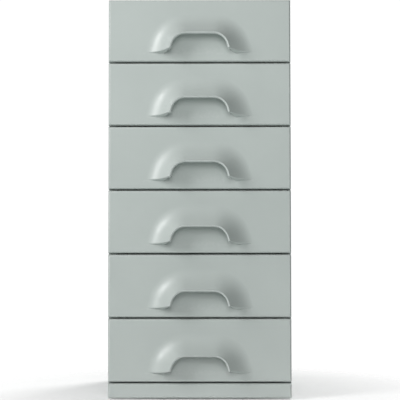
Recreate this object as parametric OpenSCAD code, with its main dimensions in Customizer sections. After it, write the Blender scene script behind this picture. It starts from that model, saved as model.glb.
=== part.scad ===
// Tall, narrow chest of drawers with hood pulls.
//
// A board carcase stands on four glides. Each drawer is a plywood box closed by a front
// that covers the carcase's edges, and it runs on a pair of three-member slides. A hood
// pull is glued to each front and lacquered with it, so that the two read as one surface.
// Millimetres. +Z is up, and the fronts face -Y. The origin is on the floor, in the
// middle of the footprint, pulls included. Drawers are numbered from the top down.

/* [Cabinet] */
// Width across the fronts
cabinet_w = 400; // [330:1:600]
// Height from the floor to the top
cabinet_h = 875; // [720:1:1400]
// Depth from the face of the fronts to the back
cabinet_d = 425; // [340:1:600]
// Thickness of the side panels and the top panel
panel_t = 18; // [15:0.5:25]
// Thickness of the bottom panel and the cross rail
shelf_t = 16; // [12:0.5:22]
// Height of the plinth board
plinth_h = 32; // [26:1:90]
// Thickness of the rail that closes the plinth at the back
rear_rail_t = 18; // [12:0.5:25]

/* [Back panel] */
// Thickness of the back panel
back_t = 6; // [4:0.5:9]
// How far the back panel laps onto the sides and the top
back_lap = 9; // [7:0.5:12]
// Radius of a back screw's shank
screw_r = 1.5; // [1.25:0.05:2]
// Radius of a back screw's countersunk head
screw_head_r = 3; // [2.5:0.1:3.5]
// Length of a back screw
screw_len = 22; // [16:1:30]
// Back screws in each side panel
side_screws = 5; // [2:1:9]
// Distance of the end screws from the back panel's ends
screw_end = 40; // [20:1:80]

/* [Cross rail] */
// Number of the drawer that the cross rail runs under
rail_under = 3; // [1:1:5]
// Depth of the cross rail, front to back
rail_d = 60; // [30:1:120]
// Set-back of the cross rail from the carcase's front edge
rail_setback = 20; // [5:1:60]

/* [Glides] */
// Radius of a glide's pad
glide_r = 7.5; // [5:0.5:8.5]
// Height of a glide's pad
glide_h = 3; // [2:0.5:6]
// Radius of the peg that holds a glide
glide_peg_r = 2.5; // [1.5:0.5:4]
// Length of the peg that holds a glide
glide_peg_len = 12; // [6:1:20]
// Distance of a glide from the carcase's front and back edges
glide_inset = 25; // [15:1:60]

/* [Drawer fronts] */
// Number of drawers
drawer_count = 6; // [1:1:6]
// Thickness of a drawer front
front_t = 18; // [15:0.5:25]
// Gap between one front and the next, and over the plinth
front_gap = 2.8; // [1.5:0.1:5]
// Rounding of the edges round a front's face
front_round = 4; // [1:0.5:6]
// Space between the fronts and the carcase, where the bumpers are
front_stand = 2; // [1:0.1:4]
// Radius of a bumper
bumper_r = 4; // [2:0.5:6]
// Drop of a bumper from the top of its front
bumper_drop = 30; // [10:1:60]

/* [Drawer boxes] */
// Thickness of a drawer box's sides and back
box_t = 12; // [9:0.5:16]
// Thickness of a drawer box's bottom
box_bottom_t = 6; // [4:0.5:9]
// Height of a front's lower edge below its box
box_low = 14; // [10:1:30]
// Height of a front's upper edge above its box
box_high = 23; // [12:1:50]
// Height of the groove for the bottom above the box's lower edge
groove_rise = 10; // [8:0.5:16]
// Depth of the groove for the bottom
groove_d = 6; // [3:0.5:8]
// Air between a drawer box and the back panel
box_behind = 47; // [10:1:80]

/* [Slides] */
// Space that a slide takes between the carcase and the drawer box
slide_w = 12.7; // [11:0.1:16]
// Height of a slide
slide_h = 35; // [32:0.5:46]
// Thickness of a slide's steel
slide_wall = 1.2; // [0.8:0.1:1.6]
// Race between two members, where the balls run
slide_race = 2.4; // [1.8:0.1:3.2]
// Set-back of the slides from the carcase's front edge
slide_setback = 4; // [2:0.5:20]

/* [Hood pull] */
// Reach of the hood from the face of the front
pull_reach = 35; // [20:1:45]
// Height of the pull's feet above the front's lower edge
pull_rise = 17; // [5:1:40]
// Width of the opening between the feet
arch_w = 129; // [110:1:160]
// Height of the opening
arch_h = 40; // [35:0.5:50]
// Radius between the level crown and the legs
arch_r = 30.5; // [20:0.5:31.5]
// How far each foot stands outside the corner radius
leg_spread = 4; // [0:0.5:12]
// Distance from the opening's edge to the end of the flare, at the feet
flare_side = 53; // [42:1:66]
// Distance from the opening's edge to the end of the flare, over the crown
flare_top = 49; // [40:1:56]
// Exponent of the flare's hollow curve: 1 is straight, more is hollower
flare_power = 2; // [1.4:0.05:2.6]
// Rounding of the opening's lip
lip_round = 3.6; // [1:0.1:5]
// Depth of the lip's inner face
lip_face = 5.5; // [3:0.5:10]
// Depth of the finger pocket behind the lip
hook = 14; // [8:0.5:20]
// Thickness of the hood over the finger pocket
hood_t = 6; // [4:0.5:9]
// Height of the lip's ends above the line where the feet meet the front
foot_rise = 9; // [0:0.5:14]
// Upward tilt of that line towards the sides, in degrees
foot_tilt = 4; // [0:0.5:10]

/* [Hidden] */
$fn = 48;

// Radial or face clearance of a peg, a screw or a board in its seat
seat_clearance = 0.05;
groove_clearance = 0.2;
// Gap between the bumpers and the closed fronts
bumper_gap = 0.3;
// Clearance between a slide member's edges and what faces them
slide_clearance = 1.2;
// Length of a cut that has to pass through a face
overcut = 1;
// Height of the flare's outer edge over the face of the front
flare_edge = 0.4;

// Planes across the depth: front faces, carcase's front edge, back panel and back
face_y = pull_reach - (cabinet_d + pull_reach) / 2;
back_y = face_y + cabinet_d;
carcase_y = face_y + front_t + front_stand;
back_panel_y = back_y - back_t;

// Widths
inner_w = cabinet_w - 2 * panel_t;
box_w = inner_w - 2 * slide_w;
box_inner_w = box_w - 2 * box_t;
back_panel_w = inner_w + 2 * back_lap;

// Heights
plinth_top = glide_h + plinth_h;
top_z = cabinet_h - panel_t;
front_pitch = (cabinet_h - plinth_top) / drawer_count;
front_h = front_pitch - front_gap;
box_h = front_h - box_low - box_high;
bottom_z = plinth_top - shelf_t;
back_panel_h = top_z + back_lap - bottom_z;
function front_z(n) = cabinet_h - n * front_pitch + front_gap;
function box_z(n) = front_z(n) + box_low;

// Lengths of the boxes and the slides, front to back
box_y = face_y + front_t;
box_len = back_panel_y - box_behind - box_y;
slide_y = carcase_y + slide_setback;
slide_len = box_y + box_len - slide_y;

// Back screws: up both sides, and two in each of the top and bottom panels
screw_x = inner_w / 2 + back_lap / 2;
screw_step = (back_panel_h - 2 * screw_end) / (side_screws - 1);
side_screw_z = [for (i = [0 : side_screws - 1]) bottom_z + screw_end + i * screw_step];
shelf_screw_x = inner_w / 4;
top_screw_z = top_z + back_lap / 2;
bottom_screw_z = bottom_z + shelf_t / 2;

// Glides and slides
glide_x = cabinet_w / 2 - panel_t / 2;
glide_ys = [carcase_y + glide_inset, back_y - glide_inset];

drawers = [1 : drawer_count];
function numbered(stem) = [for (n = drawers) str(stem, "_", n)];

lacquer = [0.70, 0.73, 0.71];
birch = [0.80, 0.70, 0.54];
zinc = [0.72, 0.74, 0.76];
nylon = [0.16, 0.16, 0.17];
felt = [0.85, 0.85, 0.83];

// ---- Shared shapes ----

// Keeps what is drawn on the right and adds its mirror image on the left
module both_sides() {
    children();
    mirror([1, 0, 0]) children();
}

// Board with its lower corner at the origin
module board(w, d, h) {
    cube([w, d, h]);
}

// Outline of a board whose two corners on the low side of its second axis are rounded
module rounded_face_outline(w, t, r) {
    translate([r, 0]) square([w - 2 * r, t]);
    translate([0, r]) square([w, t - r]);
    for (x = [r, w - r]) translate([x, r]) circle(r);
}

// Board standing in front of the carcase, with the edges round its face rounded over
module faced_board(w, t, h, r) {
    intersection() {
        linear_extrude(h) rounded_face_outline(w, t, r);
        rotate([90, 0, 90]) linear_extrude(w) mirror([1, -1]) rounded_face_outline(h, t, r);
    }
}

// Channel open towards +X, centred in height, its web's back on the YZ plane
module channel(depth, height, len, wall) {
    difference() {
        translate([0, 0, -height / 2]) cube([depth, len, height]);
        translate([wall, -overcut, wall - height / 2])
            cube([depth, len + 2 * overcut, height - 2 * wall]);
    }
}

// Places children behind the back at every screw on one of the lists, pointing at -Y
module at_screws(xs, zs) {
    for (x = xs, z = zs) translate([x, back_y, z]) rotate([90, 0, 0]) children();
}

// Countersunk screw, or with a clearance the hole that takes it
module back_screw(gap = 0) {
    cylinder(r1 = screw_head_r + gap, r2 = screw_r + gap, h = screw_head_r - screw_r);
    cylinder(r = screw_r + gap, h = screw_len + gap);
}

// ---- Carcase ----

module side_panel() {
    height = top_z - glide_h;
    difference() {
        translate([inner_w / 2, carcase_y, glide_h]) board(panel_t, back_y - carcase_y, height);
        translate([inner_w / 2 - overcut, back_panel_y, bottom_z])
            board(back_lap + overcut, back_t + overcut, back_panel_h);
        at_screws([screw_x], side_screw_z) back_screw(seat_clearance);
        for (y = glide_ys) translate([glide_x, y, glide_h])
            cylinder(r = glide_peg_r + seat_clearance, h = glide_peg_len + seat_clearance);
    }
}

module side_panel_left() {
    color(lacquer) mirror([1, 0, 0]) side_panel();
}

module side_panel_right() {
    color(lacquer) side_panel();
}

module top_panel() {
    color(lacquer) difference() {
        translate([-cabinet_w / 2, carcase_y, top_z]) board(cabinet_w, back_y - carcase_y, panel_t);
        translate([-back_panel_w / 2, back_panel_y, top_z - overcut])
            board(back_panel_w, back_t + overcut, back_lap + overcut);
        at_screws([-shelf_screw_x, shelf_screw_x], [top_screw_z]) back_screw(seat_clearance);
    }
}

module bottom_panel() {
    color(lacquer) difference() {
        translate([-inner_w / 2, carcase_y, bottom_z])
            board(inner_w, back_panel_y - carcase_y, shelf_t);
        at_screws([-shelf_screw_x, shelf_screw_x], [bottom_screw_z]) back_screw(seat_clearance);
    }
}

module back_panel() {
    color(lacquer) difference() {
        translate([-back_panel_w / 2, back_panel_y, bottom_z])
            board(back_panel_w, back_t, back_panel_h);
        at_screws([-screw_x, screw_x], side_screw_z) back_screw(seat_clearance);
        at_screws([-shelf_screw_x, shelf_screw_x], [bottom_screw_z, top_screw_z])
            back_screw(seat_clearance);
    }
}

module plinth_front() {
    color(lacquer) translate([-cabinet_w / 2, face_y, glide_h])
        faced_board(cabinet_w, carcase_y - face_y, plinth_h, front_round);
}

module plinth_rear() {
    color(lacquer) translate([-inner_w / 2, back_y - rear_rail_t, glide_h])
        board(inner_w, rear_rail_t, bottom_z - glide_h);
}

module cross_rail() {
    middle = front_z(rail_under) - front_gap / 2 + (box_low - box_high) / 2;
    color(lacquer) translate([-inner_w / 2, carcase_y + rail_setback, middle - shelf_t / 2])
        board(inner_w, rail_d, shelf_t);
}

module floor_glides() {
    color(nylon) both_sides() for (y = glide_ys) translate([glide_x, y, 0]) {
        cylinder(r = glide_r, h = glide_h);
        cylinder(r = glide_peg_r, h = glide_h + glide_peg_len);
    }
}

module front_bumpers() {
    thickness = front_stand - bumper_gap;
    color(felt) both_sides() for (n = drawers)
        translate([glide_x, carcase_y, front_z(n) + front_h - bumper_drop]) rotate([90, 0, 0])
            cylinder(r = bumper_r, h = thickness);
}

module back_screws() {
    color(zinc) {
        at_screws([-screw_x, screw_x], side_screw_z) back_screw();
        at_screws([-shelf_screw_x, shelf_screw_x], [bottom_screw_z, top_screw_z]) back_screw();
    }
}

// ---- Slides ----

// One member of the left slide. Level 0 is the cabinet's, 1 the middle one and 2 the
// drawer's, which is turned round so that its web lies on the drawer box.
module slide_member(level) {
    height = slide_h - 2 * level * (slide_wall + slide_race);
    start = level * (slide_wall + slide_clearance);
    if (level < 2)
        translate([start, 0, 0]) channel(slide_w - slide_clearance - start, height, slide_len, slide_wall);
    else
        translate([slide_w, 0, 0]) mirror([1, 0, 0])
            channel(slide_w - start, height, slide_len, slide_wall);
}

// The pair of members at one level that carry drawer n
module slide_pair(n, level) {
    color(zinc) both_sides()
        translate([-inner_w / 2, slide_y, box_z(n) + box_h / 2]) slide_member(level);
}

module cabinet_slides() {
    for (n = drawers) slide_pair(n, 0);
}

module slide_middle(n) {
    slide_pair(n, 1);
}

module slide_inner(n) {
    slide_pair(n, 2);
}

// ---- Drawers ----

// Groove that takes the drawer box's bottom, with its lower face at the origin's height
module bottom_groove(w, d) {
    cube([w, d, box_bottom_t + groove_clearance]);
}

module front(n) {
    groove_w = box_inner_w + 2 * groove_d;
    color(lacquer) translate([-cabinet_w / 2, face_y, front_z(n)]) difference() {
        faced_board(cabinet_w, front_t, front_h, front_round);
        translate([(cabinet_w - groove_w) / 2, front_t - groove_d, box_low + groove_rise])
            bottom_groove(groove_w, groove_d + overcut);
    }
}

module box_side() {
    difference() {
        translate([box_inner_w / 2, box_y, 0]) board(box_t, box_len, box_h);
        translate([box_inner_w / 2 - overcut, box_y - overcut, groove_rise])
            bottom_groove(groove_d + overcut, box_len + 2 * overcut);
    }
}

module box_side_left(n) {
    color(birch) translate([0, 0, box_z(n)]) mirror([1, 0, 0]) box_side();
}

module box_side_right(n) {
    color(birch) translate([0, 0, box_z(n)]) box_side();
}

module box_bottom(n) {
    w = box_inner_w + 2 * groove_d;
    color(birch) translate([-w / 2, box_y - groove_d, box_z(n) + groove_rise])
        board(w, box_len + groove_d, box_bottom_t);
}

module box_back(n) {
    floor_z = groove_rise + box_bottom_t;
    color(birch) translate([-box_inner_w / 2, box_y + box_len - box_t, box_z(n) + floor_z])
        board(box_inner_w, box_t, box_h - floor_z);
}

// ---- Hood pull ----
// The opening's edge is a leg, a corner arc and half the level crown, mirrored. The hood
// is a closed ring of points in the plane across that edge, swept from foot to foot. In
// that plane t is the distance out from the opening's edge and y the height over the
// face of the front.

leg_samples = 4;
arc_samples = 7;
crown_samples = 2;
flare_samples = 7;

crown_w = arch_w - 2 * (arch_r + leg_spread);
corner = [crown_w / 2, arch_h - arch_r];
foot = [arch_w / 2, 0];
// Direction of the leg's outward normal, from the tangent to the corner arc
leg_normal = atan2(corner.y - foot.y, corner.x - foot.x)
    - asin(arch_r / norm(corner - foot)) - 90;
leg_top = corner + arch_r * [cos(leg_normal), sin(leg_normal)];

// Stations along the right half of the opening's edge: point, direction of the section,
// the edge's own normal, how far the section rises over the pull's reach, and how far the
// pocket has opened
leg_stations = [for (i = [0 : leg_samples]) let (s = i / leg_samples)
    [foot + s * (leg_top - foot), foot_tilt + s * (leg_normal - foot_tilt), leg_normal,
     foot_rise * pow(1 - s, 1.5), s * s * (3 - 2 * s)]];
arc_stations = [for (i = [1 : arc_samples])
    let (a = leg_normal + (90 - leg_normal) * i / arc_samples)
    [corner + arch_r * [cos(a), sin(a)], a, a, 0, 1]];
crown_stations = [for (i = [1 : crown_samples])
    [[crown_w / 2 * (1 - i / crown_samples), arch_h], 90, 90, 0, 1]];
half_stations = concat(leg_stations, arc_stations, crown_stations);

// Width of the flare from the top of the lip, and its height at a distance t from the
// opening's edge
function flare_width(a) = flare_side + (flare_top - flare_side) * pow(sin(a), 2) - lip_round;
function flare_height(t, a) = pull_reach * pow(1 - (t - lip_round) / flare_width(a), flare_power);
// Distance at which the flare has come down to its outer edge
function flare_end(a) =
    lip_round + flare_width(a) * (1 - pow(flare_edge / pull_reach, 1 / flare_power));

// Innermost point of the pocket. At the feet, where the pocket has closed, it lies halfway
// down a plain slope from the lip to the pocket's foot.
function pocket_edge(a, opened) =
    opened * [hook, flare_height(hook, a) - hood_t]
    + (1 - opened) * [hook, pull_reach - lip_round - lip_face] / 2;

// Section of the hood: [t, y] from the flare's outer edge over the lip and into the pocket
function hood_section(a, opened) = concat(
    [[flare_end(a), 0]],
    [for (i = [0 : flare_samples]) let (
        t = lip_round + (flare_end(a) - lip_round) * (1 - i / flare_samples))
        [t, flare_height(t, a)]],
    [[lip_round * (1 - sin(45)), pull_reach - lip_round * (1 - cos(45))],
     [0, pull_reach - lip_round],
     [0, pull_reach - lip_round - lip_face],
     pocket_edge(a, opened),
     [hook, 0]]
);

// Section of one station, in place. Down the leg the section leans away from the edge's
// normal and slides up the leg towards the lip, so that each foot ends on a plane.
function hood_ring(station) =
    let (p = station[0], a = station[1], edge_a = station[2], lean = cos(edge_a - a))
    [for (q = hood_section(edge_a, station[4])) let (rise = station[3] * q[1] / pull_reach)
        [p.x + q[0] / lean * cos(a) - rise * tan(leg_normal), -q[1],
         p.y + q[0] / lean * sin(a) + rise]];
function mirrored_ring(ring) = [for (q = ring) [-q.x, q.y, q.z]];

right_rings = [for (s = half_stations) hood_ring(s)];
hood_rings = concat(right_rings,
    [for (i = [len(right_rings) - 2 : -1 : 0]) mirrored_ring(right_rings[i])]);

// Closed skin over a list of rings that have the same number of points
module skin(rings) {
    n = len(rings[0]);
    last = len(rings) - 1;
    walls = [for (k = [0 : last - 1], i = [0 : n - 1])
        let (a = k * n + i, b = k * n + (i + 1) % n) each [[a, b, b + n], [a, b + n, a + n]]];
    start_cap = [for (i = [n - 1 : -1 : 0]) i];
    end_cap = [for (i = [0 : n - 1]) last * n + i];
    polyhedron([for (ring = rings) each ring], concat(walls, [start_cap, end_cap]));
}

module pull(n) {
    color(lacquer) translate([0, face_y, front_z(n) + pull_rise]) skin(hood_rings);
}

// ---- Assembly ----

side_panel_left();
side_panel_right();
top_panel();
bottom_panel();
back_panel();
plinth_front();
plinth_rear();
cross_rail();
floor_glides();
front_bumpers();
back_screws();
cabinet_slides();

for (n = drawers) {
    front(n);
    pull(n);
    box_side_left(n);
    box_side_right(n);
    box_back(n);
    box_bottom(n);
    slide_middle(n);
    slide_inner(n);
}
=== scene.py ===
# Tall chest of drawers with hood pulls: the looks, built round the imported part.
# Metres. +Z is up, the fronts face -Y, and drawers are numbered from the top down.

import itertools
import math

import bmesh
import bpy
from mathutils import Matrix, Vector
from mathutils.geometry import delaunay_2d_cdt


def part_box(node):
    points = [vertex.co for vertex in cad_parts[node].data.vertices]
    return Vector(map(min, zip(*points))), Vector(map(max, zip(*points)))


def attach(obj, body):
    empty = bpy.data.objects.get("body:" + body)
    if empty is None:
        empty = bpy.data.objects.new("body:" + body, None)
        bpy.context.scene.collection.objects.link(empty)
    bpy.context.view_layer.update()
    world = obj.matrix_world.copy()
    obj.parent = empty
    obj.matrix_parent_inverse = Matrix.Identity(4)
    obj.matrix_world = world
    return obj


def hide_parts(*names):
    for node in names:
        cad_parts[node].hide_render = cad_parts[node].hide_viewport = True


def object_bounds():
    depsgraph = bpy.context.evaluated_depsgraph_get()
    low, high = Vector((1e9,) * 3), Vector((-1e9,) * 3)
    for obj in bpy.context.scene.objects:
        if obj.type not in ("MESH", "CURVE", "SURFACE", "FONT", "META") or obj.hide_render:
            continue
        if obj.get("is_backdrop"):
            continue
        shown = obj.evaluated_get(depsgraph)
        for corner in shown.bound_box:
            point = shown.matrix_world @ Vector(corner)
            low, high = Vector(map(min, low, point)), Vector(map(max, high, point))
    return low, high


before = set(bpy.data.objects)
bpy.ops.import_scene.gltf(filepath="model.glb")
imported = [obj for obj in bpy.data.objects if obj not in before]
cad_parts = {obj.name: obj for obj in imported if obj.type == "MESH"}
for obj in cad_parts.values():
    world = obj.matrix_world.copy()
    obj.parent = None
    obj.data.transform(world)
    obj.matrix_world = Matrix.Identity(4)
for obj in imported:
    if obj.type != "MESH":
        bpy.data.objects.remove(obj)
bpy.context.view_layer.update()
drawer_numbers = [n for n in range(1, 7) if f"front_{n}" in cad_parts]


# ---- Side panels ----
# Two 18 mm boards that carry the slides. They are rebated at the rear for the back panel,
# and sprayed all round with the satin grey-green lacquer that the whole chest wears.

LACQUER_LIGHT = (0.488, 0.528, 0.510, 1.0)
LACQUER_DARK = (0.464, 0.503, 0.486, 1.0)
LACQUER_SHINE = 0.75
BOARD_EDGE = 0.0007


def add_node(tree, kind, inputs=None, **settings):
    """A node with its settings, and its inputs by name or number: values, or sockets to link."""
    node = tree.nodes.new(kind)
    for key, value in settings.items():
        setattr(node, key, value)
    for key, value in (inputs or {}).items():
        if isinstance(value, bpy.types.NodeSocket):
            tree.links.new(value, node.inputs[key])
        else:
            node.inputs[key].default_value = value
    return node


def new_material(name):
    material = bpy.data.materials.new(name)
    material.use_nodes = True
    tree = material.node_tree
    tree.nodes.clear()
    shader = add_node(tree, "ShaderNodeBsdfPrincipled")
    output = add_node(tree, "ShaderNodeOutputMaterial")
    tree.links.new(shader.outputs["BSDF"], output.inputs["Surface"])
    return material, tree, shader


def set_finish(tree, shader, colour, roughness):
    tree.links.new(colour, shader.inputs["Base Color"])
    tree.links.new(roughness, shader.inputs["Roughness"])


def object_place(tree):
    return add_node(tree, "ShaderNodeTexCoord").outputs["Object"]


def noise(tree, place, scale, detail=2.0, stretch=(1, 1, 1)):
    stretched = add_node(tree, "ShaderNodeMapping", {"Vector": place, "Scale": stretch})
    node = add_node(tree, "ShaderNodeTexNoise", {
        "Vector": stretched.outputs["Vector"], "Scale": scale, "Detail": detail})
    return node.outputs["Fac"]


def ranged(tree, value, low, high, to_low=0.0, to_high=1.0):
    node = add_node(tree, "ShaderNodeMapRange", {
        "Value": value, "From Min": low, "From Max": high, "To Min": to_low, "To Max": to_high})
    return node.outputs["Result"]


def math_of(tree, operation, first, second=0.0):
    node = add_node(tree, "ShaderNodeMath", {0: first, 1: second}, operation=operation)
    return node.outputs["Value"]


def product(tree, first, second):
    return math_of(tree, "MULTIPLY", first, second)


def total(tree, first, second):
    return math_of(tree, "ADD", first, second)


def mixed(tree, share, first, second):
    node = add_node(tree, "ShaderNodeMix", {0: share, 6: first, 7: second}, data_type="RGBA")
    return node.outputs[2]


def attribute(tree, name, output="Fac"):
    return add_node(tree, "ShaderNodeAttribute", attribute_name=name).outputs[output]


def bumped(tree, shader, height, distance):
    node = add_node(tree, "ShaderNodeBump", {
        "Height": height, "Distance": distance, "Strength": 1.0})
    tree.links.new(node.outputs["Normal"], shader.inputs["Normal"])


def lacquer(name, light, dark, gloss_low, gloss_high):
    """Satin lacquer: faint clouding, fine orange peel, and paler colour at convex edges: part
    rubbed wear, part painted highlight.
    """
    material, tree, shader = new_material(name)
    place = object_place(tree)
    cloud = ranged(tree, noise(tree, place, 9.0, 3.0), 0.3, 0.7)
    # Paler colour on convex edges, broken up by noise: part rubbed wear, part a painted highlight
    # where the edges catch the light.
    rub_and_highlight = product(tree, attribute(tree, "edge"), noise(tree, place, 160.0, 4.0))
    rub_and_highlight = ranged(tree, rub_and_highlight, 0.35, 0.75, 0.0, 0.35)
    coat = mixed(tree, cloud, dark, light)
    rub_and_highlight_tone = tuple(0.4 * channel + 0.42 for channel in light[:3]) + (1.0,)
    smear = ranged(tree, noise(tree, place, 34.0, 5.0), 0.35, 0.65, gloss_low, gloss_high)
    set_finish(tree, shader, mixed(tree, rub_and_highlight, coat, rub_and_highlight_tone),
               total(tree, smear, product(tree, rub_and_highlight, 0.15)))
    peel = total(tree, noise(tree, place, 480.0), product(tree, noise(tree, place, 60.0), 3.0))
    bumped(tree, shader, peel, 0.00002)
    shader.inputs["Specular IOR Level"].default_value = LACQUER_SHINE
    return material


def carved_block(xs, ys, zs, is_cut, edge_round):
    """Block on a grid of planes, without the cells that is_cut names, its edges rounded."""
    bm = bmesh.new()
    corners = {}

    def corner(i, j, k):
        if (i, j, k) not in corners:
            corners[(i, j, k)] = bm.verts.new((xs[i], ys[j], zs[k]))
        return corners[(i, j, k)]

    def is_solid(cell):
        spans = list(zip(cell, (xs, ys, zs)))
        if any(not 0 <= i < len(planes) - 1 for i, planes in spans):
            return False
        return not is_cut(*((planes[i] + planes[i + 1]) / 2 for i, planes in spans))

    cells = itertools.product(range(len(xs) - 1), range(len(ys) - 1), range(len(zs) - 1))
    for cell in filter(is_solid, cells):
        for axis, side in itertools.product(range(3), (0, 1)):
            beside = list(cell)
            beside[axis] += 1 if side else -1
            if is_solid(beside):
                continue
            ring = []
            for p, q in ((0, 0), (1, 0), (1, 1), (0, 1)):
                index = list(cell)
                index[axis] += side
                index[(axis + 1) % 3] += p
                index[(axis + 2) % 3] += q
                ring.append(corner(*index))
            bm.faces.new(ring if side else ring[::-1])
    bmesh.ops.dissolve_limit(bm, angle_limit=0.01, verts=bm.verts[:], edges=bm.edges[:])
    bmesh.ops.recalc_face_normals(bm, faces=bm.faces[:])
    sharp = [edge for edge in bm.edges if edge.calc_face_angle(0.0) > 0.5]
    bmesh.ops.bevel(bm, geom=sharp, offset=edge_round, segments=3, profile=0.5,
                    affect="EDGES", clamp_overlap=True)
    return bm


def plain_block(low, high, edge_round):
    """Block that fills a box, its edges rounded."""
    return carved_block((low.x, high.x), (low.y, high.y), (low.z, high.z),
                        lambda x, y, z: False, edge_round)


def mark_edges(bm):
    """Writes how sharply the surface bends outwards at each vertex, from 0 to 1."""
    layer = bm.verts.layers.float.new("edge")
    full_bend = math.radians(11)
    for vert in bm.verts:
        bend = max((edge.calc_face_angle_signed(0.0) for edge in vert.link_edges), default=0.0)
        vert[layer] = min(1.0, max(0.0, bend / full_bend))


def add_piece(name, bm, material, body, replaced):
    """Shades the mesh and adds it to the scene as an object at the origin, under its body."""
    mark_edges(bm)
    for face in bm.faces:
        face.smooth = True
    for edge in bm.edges:
        edge.smooth = abs(edge.calc_face_angle(0.0)) < math.radians(38)
    rough = bpy.data.meshes.new(name)
    bm.to_mesh(rough)
    bm.free()
    holder = in_scene(name + "_rough", rough)
    weighted = holder.modifiers.new("Weighted Normal", "WEIGHTED_NORMAL")
    weighted.keep_sharp = True
    mesh = plain_mesh(holder, name)
    mesh.materials.clear()
    mesh.materials.append(material)
    return hand_over(mesh, name, body, replaced)


def in_scene(name, data):
    """A new object in the scene."""
    made = bpy.data.objects.new(name, data)
    bpy.context.scene.collection.objects.link(made)
    return made


def plain_mesh(holder, name):
    """The evaluated mesh of a holder object, which is then thrown away."""
    evaluated = holder.evaluated_get(bpy.context.evaluated_depsgraph_get())
    mesh = bpy.data.meshes.new_from_object(evaluated)
    bpy.data.objects.remove(holder)
    mesh.name = name
    return mesh


def hand_over(mesh, name, body, replaced):
    piece = in_scene(name, mesh)
    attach(piece, body)
    if replaced:
        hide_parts(*replaced)
    return piece


board_lacquer = lacquer("carcase_lacquer", LACQUER_LIGHT, LACQUER_DARK, 0.34, 0.44)
back_low, back_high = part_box("back_panel")
for side in ("left", "right"):
    low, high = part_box(f"side_panel_{side}")
    rebate_x = back_low.x if side == "left" else back_high.x

    def is_side_rebate(x, y, z):
        return abs(x) < abs(rebate_x) and y > back_low.y and z > back_low.z

    xs = sorted((low.x, rebate_x, high.x))
    panel = carved_block(xs, (low.y, back_low.y, high.y), (low.z, back_low.z, high.z),
                         is_side_rebate, BOARD_EDGE)
    add_piece(f"panel_{side}", panel, board_lacquer, "carcase", [f"side_panel_{side}"])


# ---- Top and bottom panels, cross rail and rear plinth rail ----
# The top lies on the side panels and is rebated below for the back panel. The bottom
# panel, the rail under the third drawer and the low rear rail are glued between the sides.

low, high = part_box("top_panel")


def is_top_rebate(x, y, z):
    return abs(x) < back_high.x and y > back_low.y and z < back_high.z


panel = carved_block((low.x, back_low.x, back_high.x, high.x), (low.y, back_low.y, high.y),
                     (low.z, back_high.z, high.z), is_top_rebate, BOARD_EDGE)
add_piece("panel_top", panel, board_lacquer, "carcase", ["top_panel"])

for node in ("bottom_panel", "cross_rail", "plinth_rear"):
    panel = plain_block(*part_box(node), BOARD_EDGE)
    add_piece(node + "_board", panel, board_lacquer, "carcase", [node])


# ---- Front plinth ----
# A low board across the whole width, flush with the drawer fronts. Its face edges are
# rounded over with the same cutter as the fronts, and it is sprayed with them.

FRONT_ROUND = 0.0045
ROUND_DEPTH = 0.0085
ROUND_STEPS = 7
REAR_EDGE = 0.0004
SUPPORT = 0.0012

front_lacquer = lacquer("front_lacquer", LACQUER_LIGHT, LACQUER_DARK, 0.34, 0.43)


def flat_faces(bm, loops):
    """Fills the level area inside the first closed loop of vertices and outside the others."""
    verts = [vert for loop in loops for vert in loop]
    areas = []
    for loop in loops:
        start = sum(len(area) for area in areas)
        areas.append(list(range(start, start + len(loop))))
    flat = [Vector((vert.co.x, vert.co.z)) for vert in verts]
    made = delaunay_2d_cdt(flat, [], areas, 1, 1e-8)
    for corners, inside in zip(made[2], made[5]):
        if inside == [0]:
            bm.faces.new([verts[made[3][corner][0]] for corner in corners])


def board_ring(bm, low, high, inset, y):
    return [bm.verts.new((x, y, z)) for x, z in (
        (low.x + inset, low.z + inset), (high.x - inset, low.z + inset),
        (high.x - inset, high.z - inset), (low.x + inset, high.z - inset))]


def join_rings(bm, first, second):
    for i in range(len(first)):
        j = (i + 1) % len(first)
        bm.faces.new((first[i], first[j], second[j], second[i]))


def faced_board(bm, low, high, face_loops, rear_loops):
    """Board with its face edges rounded over, and flat areas left open where loops lie."""
    rings = [board_ring(bm, low, high, FRONT_ROUND + SUPPORT, low.y)]
    for i in range(ROUND_STEPS + 1):
        turn = math.pi / 2 * i / ROUND_STEPS
        inset = FRONT_ROUND * (1 - math.sin(turn))
        rings.append(board_ring(bm, low, high, inset, low.y + ROUND_DEPTH * (1 - math.cos(turn))))
    rings.append(board_ring(bm, low, high, 0, high.y - REAR_EDGE))
    rings.append(board_ring(bm, low, high, REAR_EDGE, high.y))
    rings.append(board_ring(bm, low, high, REAR_EDGE + SUPPORT, high.y))
    for first, second in zip(rings, rings[1:]):
        join_rings(bm, first, second)
    flat_faces(bm, [rings[0]] + face_loops)
    flat_faces(bm, [rings[-1]] + rear_loops)


low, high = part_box("plinth_front")
plinth = bmesh.new()
faced_board(plinth, low, high, [], [])
bmesh.ops.recalc_face_normals(plinth, faces=plinth.faces[:])
add_piece("plinth_board", plinth, front_lacquer, "carcase", ["plinth_front"])


# ---- Back panel ----
# A 6 mm board set into the rebates and screwed to the sides, the top and the bottom. It is
# drilled and countersunk, and only its face has a thin, drier coat of the same lacquer.

HEAD_SPACE = 0.0033
SHANK_SPACE = 0.0017
HEAD_SINK = 0.00015
HOLE_SIDES = 24
HEAD_REACH = 0.008
FLAT_LIMIT = 0.000001
BACK_LIGHT = (0.470, 0.497, 0.480, 1.0)
BACK_DARK = (0.440, 0.468, 0.452, 1.0)

back_lacquer = lacquer("back_lacquer", BACK_LIGHT, BACK_DARK, 0.46, 0.60)


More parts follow.
